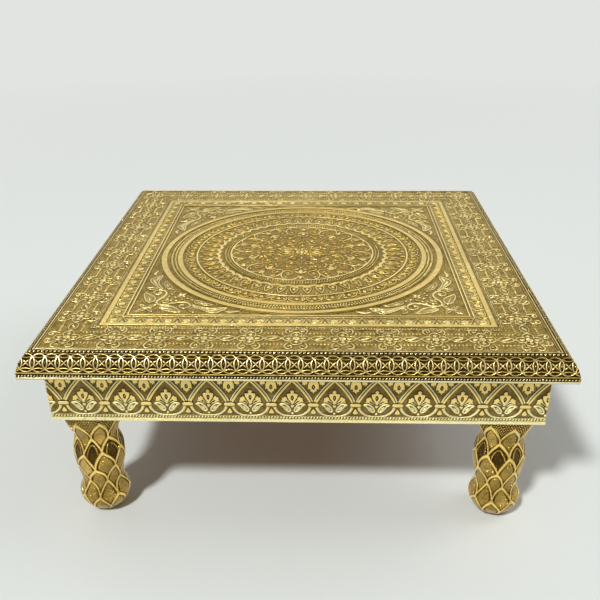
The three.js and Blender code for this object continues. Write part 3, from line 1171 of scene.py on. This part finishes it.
rings = {
    "bands": [(150.2, 149.5, 0.4), (148, 142.6, 0.95), (139.9, 139.2, 0.45), (131.2, 126.6, 0.95),
              (125, 124.4, 0.45), (112, 110.4, 0.85), (83.9, 83.3, 0.4), (76.1, 74.5, 0.7)],
    "beads": [(137.2, 330, (2.1, 3.3, 0.6), 0.35), (133.6, 300, (2.2, 3.1, 0.6), -0.35),
              (81.4, 190, (1.6, 2.3, 0.6), 0), (78.4, 180, (1.6, 2.3, 0.6), 0)],
    "beadLift": 0.16,
    "bandEdge": 0.25,
    "steps": 192,
    "scrolls": 44,
    "scrollTurn": -1,
    "scrollBead": ((8.4, 112.9), (1.3, 1.3, 0.5)),
    "drops": 48,
    "dropTurn": 4.4,
    "scallopMiddle": 87.5,
    "petals": 10,
    "petalBead": (20.4, (1.7, 1.7, 0.6)),
    "heartBead": ((0, 30.2), (1.8, 1.8, 0.7)),
    "innerBeads": (8.9, 20, (1.5, 1.5, 0.55)),
    "middle": (5.6, 5.6, 0.9),
}


def scrollUnit():
    arch = [(0, 122.8), (3.6, 122.2), (6.7, 119.8), (7.4, 116.4), (5.8, 113.9), (3.9, 115), (4.4, 117.3),
            (5.9, 117.2)]
    return mirrored([line(arch, [1, 1.1, 1.2, 1.2, 1, 0.9, 1, 1.6])]) + [
        line([(0, 120.4), (0, 118), (0, 114.2)], [0.8, 2.4, 0.5]),
        line([(0, 112.9), (0, 113.6)], [0.9, 0.9]),
        line([(8.4, 123.6), (8.4, 121.6)], [1.8, 0.5])]


def dropUnit():
    outline = [(0, 91.4), (2.6, 92), (3.8, 94.7), (3.1, 98.6), (1.4, 102.6), (0, 105.6, 1), (-1.4, 102.6),
               (-3.1, 98.6), (-3.8, 94.7), (-2.6, 92)]
    return [loop(outline, 1.15), line([(0, 93.6), (0, 96), (0, 100.4)], [0.8, 2.3, 0.5]),
            line([(6.3, 108.6), (6.3, 105.6), (6.1, 102.4)], [1.5, 1.2, 0.3])]


def scallopUnit():
    half = rings["scallopMiddle"] * math.pi / rings["drops"]
    arc = [(0, 90.6, 1), (1.4, 88.9), (half, 87.4), (2 * half - 1.6, 88.7), (2 * half - 0.1, 89.8, 1)]
    return [line(arc, [1.6, 2, 2.2, 2, 1.6]), line([(half, 85.6), (half, 84.4)], [1.3, 0.7])]


def heartUnit():
    scroll = [(0.3, 59.4), (1.9, 64.4), (4, 70), (8.4, 73.2), (13, 73), (17, 69.8), (18.9, 65),
              (19, 59.4), (17.2, 54), (13.6, 51.2), (9.8, 52.6), (8, 56.6), (8.8, 60.8), (11.8, 62.4),
              (14.2, 60.6), (13.8, 57.6), (11.9, 57.4)]
    widths = [0.6, 1, 1.2, 1.3, 1.3, 1.3, 1.3, 1.3, 1.2, 1.1, 1, 1, 1, 1, 0.9, 1.1, 1.6]
    parts = mirrored([
        line(scroll, widths),
        line([(0, 58.2), (3.2, 56), (5.2, 53.2), (5, 50.6)], [1, 1.4, 1.3, 0.4]),
        line([(11.8, 69.8), (14.6, 67.2), (15.8, 63.2)], [0.4, 1.5, 0.5]),
        line([(1.6, 44.6), (3.8, 47.4), (7.6, 48.6)], [0.6, 1.5, 0.5]),
        loop([(0, 33, 1), (2.6, 35.6), (3.4, 39), (2, 42), (0.4, 40.2), (0, 37.6)], 0.85),
        line([(6.6, 42.6), (8.8, 45.2), (12.4, 46.2)], [0.5, 1.3, 0.4]),
        line([(9.9, 31.4), (5.6, 34), (3.8, 31), (6.2, 28.6), (9, 29)], [0.9, 1, 1, 0.9, 0.6]),
        loop([(0, 8.6), (2.6, 12.4), (4.6, 17.2), (4.2, 21.6), (2, 25), (0, 27.4, 1), (0, 22)], 0.9),
    ])
    parts += [
        line([(0, 58.6), (0, 53), (0, 47.2)], [1.4, 2.6, 0.6]),
        line([(0, 62.8), (0, 66.8), (0, 71.6)], [0.4, 2.6, 1.2]),
        line([(0, 46.2), (0, 43.6)], [0.6, 1.9]),
        line([(0, 13), (0, 17.6), (0, 21.8)], [0.4, 1.8, 0.5]),
        line([(0, 3.4), (0, 5.2), (0, 7.6)], [0.9, 1.9, 0.5]),
    ]
    between = [
        loop([(0, 43), (2.2, 45.6), (0, 50.6, 1), (-2.2, 45.6)], 0.85),
        line([(0, 42.4), (0, 38.2)], [0.8, 0.8]),
        *mirrored([line([(0.2, 40.6), (2.2, 42.2), (4.2, 42)], [0.5, 1.4, 0.4])]),
        line([(0, 36.6), (0, 33), (0, 28.2)], [0.4, 2.2, 0.5]),
        line([(0, 24.6), (0, 22.6)], [1.7, 0.6]),
    ]
    return parts + turned(between, 180 / rings["petals"])


def buildRings():
    bm = bmesh.new()
    for outer, inner, tall in rings["bands"]:
        ringBand(bm, outer, inner, tall, rings["bandEdge"])
    for radius, count, size, slant in rings["beads"]:
        beadRing(bm, radius, count, size, slant, rings["beadLift"])
    ringOf(bm, scrollUnit(), rings["scrolls"], rings["scrollTurn"], [rings["scrollBead"]], 3)
    return layRelief(bm, "ringsRelief", roundFit)


def buildRosette():
    bm = bmesh.new()
    for strokes in (dropUnit(), scallopUnit()):
        ringOf(bm, strokes, rings["drops"], rings["dropTurn"], steps=3)
    radius, size = rings["petalBead"]
    turn = math.pi / rings["petals"]
    side = ((radius * math.sin(turn), radius * math.cos(turn)), size)
    ringOf(bm, heartUnit(), rings["petals"], beads=(side, rings["heartBead"]))
    beadRing(bm, *rings["innerBeads"])
    addBead(bm, (0, 0), rings["middle"])
    return layRelief(bm, "rosetteRelief", roundFit)


addPiece("rings_relief", buildRings(), golds["roundGold"], "top_gold")
addPiece("rosette_relief", buildRosette(), golds["roundGold"], "top_gold")
print("rings_relief and rosette_relief")


# Legs: overlapping pointed scales over the turned shape, with a collar of grains at the top
leg = {
    "height": 113.1,
    "topRadius": 27.2,
    "axis": 184.7,
    "flatRadius": 25,
    "lowest": 110,
    "innerDrop": 6,
    "innerInset": 3.9,
    "innerRows": 2,
    "innerRib": 1.3,
    "innerLift": 0.3,
    "innerRoom": 0.8,
    "tipPast": 0.9,
    "flatten": 0.62,
    "scales": 8,
    "tips": [7.5, 27, 42, 59, 75, 91, 107, 122],
    "bulge": 1.92,
    "grooves": (2.15, 2.85),
    "rib": 2.4,
    "sway": 1.3,
    "swayWaves": [(3, 11), (5, -7)],
    "ribWidths": [3.4, 3.1, 2.8, 2.5, 2.3],
    "rows": 170,
    "around": 240,
    # The low second pillow darkens the second row of scales: painted shade for the table's dark underside
    # mirrored there
    "pillows": [0.44, 0.12, 0.44, 0.42, 0.42, 0.38, 0.36],
    "pillowChange": 0.14,
    "pillowWaves": (2.4, 4.1),
    # The collar's ground between the grains is painted dark as shade
    "groundCrest": 0.1,
    "grain": (1.75, 1.6, 0.85),
    "grainsAcross": 9,
    "grainStep": 1.95,
    "firstGrain": 1.3,
    "grainEnds": (1, 2),
    "grainClearance": 0.8,
    "seam": 2e-6,
    "lift": 0.2,
    "turns": {"front_left": 26, "front_right": 7, "back_right": 16, "back_left": 35},
    "profileSteps": 12,
    "profile": [(1, 0), (0.985, 0.06), (0.893, 0.14), (0.739, 0.24), (0.76, 0.3), (0.827, 0.36),
                (0.858, 0.43), (0.849, 0.5), (0.754, 0.62), (0.71, 0.715), (0.787, 0.77), (0.862, 0.825),
                (0.825, 0.88), (0.743, 0.92), (0.566, 0.975), (0.5, 0.985)],
}


def legProfile(look):
    curve = bpy.data.curves.new("legProfile", "CURVE")
    curve.dimensions = "2D"
    curve.resolution_u = look["profileSteps"]
    points = [(out * look["topRadius"], -down * look["height"]) for out, down in look["profile"]]
    addSpline(curve, points, 1, False)
    mesh = meshFromCurve(curve)
    places = np.array([vert.co[:] for vert in mesh.vertices])
    bpy.data.meshes.remove(mesh)
    order = np.argsort(-places[:, 1])
    depth, radius = -places[order, 1], places[order, 0]
    slope = np.gradient(radius, depth + np.arange(len(depth)) * 1e-6)
    out = 1 / np.sqrt(1 + slope ** 2)
    return depth, radius, out, out * slope


def archShare(look, angle, depth):
    tips = np.array(look["tips"])
    row = np.clip(np.searchsorted(tips, depth, side="right") - 1, 0, len(tips) - 2)
    part = np.clip((depth - tips[row]) / (tips[row + 1] - tips[row]), 0, 1)
    pitch = 2 * math.pi / look["scales"]
    staggered = angle + pitch / 2 * (row % 2)
    away = np.abs((staggered + pitch / 2) % pitch - pitch / 2)
    edge = pitch / 2 * part * (look["bulge"] - (look["bulge"] - 1) * part)
    return away, edge, row


# Sways the pattern a little, closed around the leg and still at its ends
def warpByHand(look, places):
    bottom = look["profile"][-1][1] * look["height"]
    turn = places[:, 0] / look["flatRadius"]
    share = np.clip(-places[:, 1] / bottom, 0, 1)
    size = look["sway"] * np.sin(math.pi * share)
    for axis, (waves, drift) in enumerate(look["swayWaves"]):
        places[:, axis] += size * np.sin(waves * turn + drift * share)


def legFit(look, corner, turnedBy):
    depth, radius, out, up = legProfile(look)
    quarter = corners.index(corner) * math.pi / 2

    def fit(places):
        squeezeHeights(places)
        warpByHand(look, places)
        down = -places[:, 1]
        angle = places[:, 0] / look["flatRadius"] + math.radians(turnedBy)
        off = places[:, 2] - embossing["tallest"]
        reach = np.interp(down, depth, radius) + np.interp(down, depth, out) * off
        height = look["height"] - down + np.interp(down, depth, up) * off
        flat = np.column_stack([reach * np.cos(angle) - look["axis"], reach * np.sin(angle) - look["axis"]])
        spin = np.array([[math.cos(quarter), -math.sin(quarter)], [math.sin(quarter), math.cos(quarter)]])
        around = flat @ spin.T
        return np.column_stack([around, np.maximum(height, look["lift"])])
    return fit


def legStrokes(look):
    half = math.pi / look["scales"] * look["flatRadius"]
    past, inset, room = look["tipPast"], look["innerInset"], look["innerRoom"]
    strokes = []
    for row, (top, low) in enumerate(zip(look["tips"], look["tips"][1:])):
        shift = 0 if row % 2 == 0 else half
        reach = min(1, (look["lowest"] - top) / (low - top))
        shares = np.linspace(0, reach, 6)
        spread = half * shares * (look["bulge"] - (look["bulge"] - 1) * shares)
        depths = top + shares * (low - top)
        for way in (-1, 1):
            arch = [(shift - way * past, -depths[0] + past * (low - top) / (half * look["bulge"]))]
            arch += [(shift + way * x, -y) for x, y in zip(spread[1:], depths[1:])]
            strokes.append(line(arch, look["ribWidths"]))
            if row < look["innerRows"]:
                inner = [(shift, -top - look["innerDrop"], 1)]
                inner += [(shift + way * (x - inset), -y - room) for x, y in zip(spread, depths)
                          if x > inset + room]
                strokes.append(line(inner, look["innerRib"], look["innerLift"]))
    return strokes


def pillowHeights(look, across, depth):
    away, edge, row = archShare(look, across / look["flatRadius"], depth)
    gap = np.abs(away - edge) * look["flatRadius"]
    scale = np.where(away < edge, row, row - 1)
    collar = (depth < look["tips"][0]) | (scale < 0)
    pitch = 2 * math.pi * look["flatRadius"] / look["scales"]
    number = np.round(across / pitch + 0.5 * (scale % 2)) % look["scales"]
    tall = np.array(look["pillows"])[np.maximum(scale, 0)]
    along, down = look["pillowWaves"]
    tall *= 1 + look["pillowChange"] * np.sin(along * number + down * scale)
    near, far = look["grooves"]
    return np.where(collar, 0, tall * np.clip((gap - near) / (far - near), 0, 1))


def legGrains(bm, look, pitch):
    outerEnd, innerEnd = (tip - end for tip, end in zip(look["tips"], look["grainEnds"]))
    depths = np.arange(look["firstGrain"], innerEnd, look["grainStep"])
    for odd, depth in enumerate(depths):
        for i in range(look["grainsAcross"]):
            across = (i + 0.5 * (odd % 2)) * pitch / look["grainsAcross"]
            away, edge, row = archShare(look, across / look["flatRadius"], depth)
            clear = (away - edge) * look["flatRadius"] > look["rib"] * look["grainClearance"]
            if depth < outerEnd or (row == 0 and clear):
                addBead(bm, (across, -depth), look["grain"])


def flatLegSheet(look):
    girth = 2 * math.pi * look["flatRadius"]
    pitch = girth / look["scales"]
    bm = bmesh.new()
    drawStrokes(bm, legStrokes(look), 3, 1, ropeSection)
    bmesh.ops.scale(bm, vec=(1, 1, look["flatten"]), verts=bm.verts)
    legGrains(bm, look, pitch)
    repeatAlong(bm, pitch, 0, look["scales"])
    skin = bmesh.new()
    bmesh.ops.create_grid(skin, x_segments=look["around"], y_segments=look["rows"], size=0.5)
    bottom = look["profile"][-1][1] * look["height"]
    bmesh.ops.scale(skin, vec=(girth, bottom, 1), verts=skin.verts)
    slide(skin, girth / 2, -bottom / 2)
    places = np.array([vert.co[:] for vert in skin.verts])
    for vert, height in zip(skin.verts, pillowHeights(look, places[:, 0], -places[:, 1])):
        vert.co.z = height
    merge(bm, skin)
    return bm


def addLegs(look):
    flat = flatLegSheet(look)
    for corner in corners:
        fit = legFit(look, corner, look["turns"][corner])
        mesh = layRelief(flat.copy(), "legSheet", fit, groundCrest=look["groundCrest"])
        change(mesh, lambda bm: weld(bm, look["seam"]))
        addPiece(f"leg_dress_{corner}", mesh, golds["legGold"], "leg_gold", f"leg_sheet_{corner}")
    flat.free()


addLegs(leg)
print("leg_dress at four corners")


# Floor: pale, and fading into the backdrop
def floorMaterial(look):
    paint = Paint("paleFloor")
    mottle = paint.ranged(paint.noise(look["floorNoise"]), *noiseEdges, 0, look["floorMottle"])
    tone = paint.blend(mottle, look["floorColour"], look["floorShade"])
    paint.finish({"Base Color": tone, "Roughness": look["floorRoughness"]})
    far = paint.add("ShaderNodeVectorMath", {0: paint.place}, operation="LENGTH").outputs["Value"]
    rays = paint.add("ShaderNodeLightPath").outputs
    seen = paint.combine(paint.ranged(far, *look["fade"], 0, 1), rays["Is Camera Ray"], "MULTIPLY")
    reflected = paint.combine(rays["Is Glossy Ray"], look["floorMirroredShare"], "MULTIPLY")
    surface = paint.shader.outputs[0]
    for share, tone in ((seen, look["backdropColour"]), (reflected, look["floorMirrored"])):
        surface = paint.mix(share, surface, paint.glow("ShaderNodeEmission", tone))
    paint.feed(paint.tree.nodes["Material Output"].inputs["Surface"], surface)
    return paint.material


def addFloor(look):
    bm = bmesh.new()
    bmesh.ops.create_grid(bm, x_segments=2, y_segments=2, size=look["floorSize"] / 2)
    floor = addObject("floor", meshOf("floor", bm))
    floor.data.materials.append(floorMaterial(look))


addFloor(studio)
print("floor is down")
